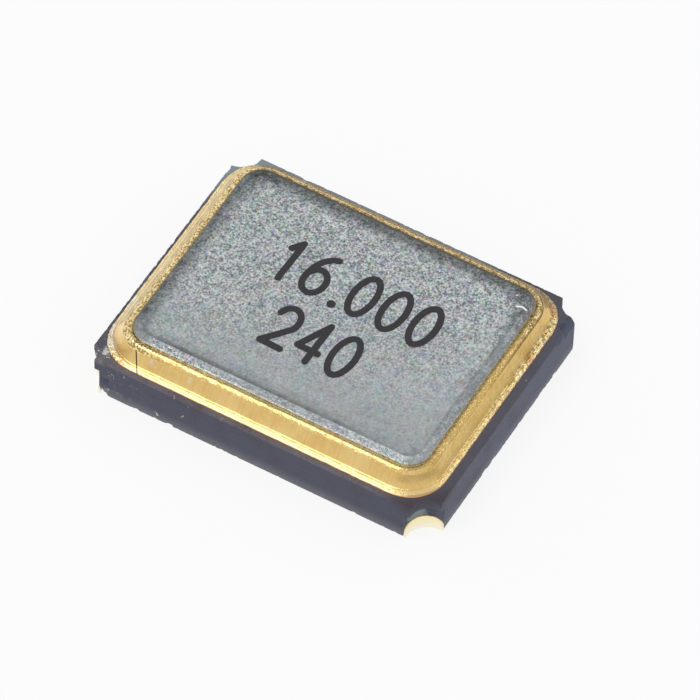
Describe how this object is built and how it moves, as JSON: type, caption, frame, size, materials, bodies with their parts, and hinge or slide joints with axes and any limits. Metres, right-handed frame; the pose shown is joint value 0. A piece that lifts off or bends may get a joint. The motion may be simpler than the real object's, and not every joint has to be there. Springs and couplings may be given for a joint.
{
  "type": "quartz crystal",
  "caption": "Thin rectangular surface-mount quartz crystal: dark ceramic body with notched corners, gold sealing frame and grey metal lid, over corner solder pads.",
  "frame": {"origin": "in the solder plane, under the middle of the ceramic body", "axes": "+X along the long side, +Y along the short side, +Z from the solder pads up to the lid"},
  "size_m": [0.0032, 0.0024, 0.0006],
  "materials": {
    "ceramic": "dark unglazed ceramic",
    "gold_plating": "gold plating over nickel, smooth",
    "gold_weld": "granular gold-coloured weld",
    "lid_metal": "fine-grained matt nickel plating",
    "quartz": "clear lapped plate",
    "silver": "silver film and silver-filled adhesive",
    "tungsten": "fired tungsten conductor"
  },
  "bodies": {
    "root": {"ceramic_base": "ceramic", "terminal_1": "gold_plating", "terminal_2": "gold_plating", "terminal_3": "gold_plating", "terminal_4": "gold_plating", "feedthrough_1": "tungsten", "feedthrough_3": "tungsten", "ground_link_2": "tungsten", "ground_link_4": "tungsten", "seal_band": "gold_plating", "braze": "gold_plating", "seal_ring": "gold_plating", "weld_bead": "gold_weld", "lid": "lid_metal", "mounting_pad_1": "gold_plating", "mounting_pad_2": "gold_plating", "adhesive_dot_1": "silver", "adhesive_dot_2": "silver", "support_bump": "tungsten", "quartz_blank": "quartz", "upper_electrode": "silver", "lower_electrode": "silver"}
  },
  "joints": []
}
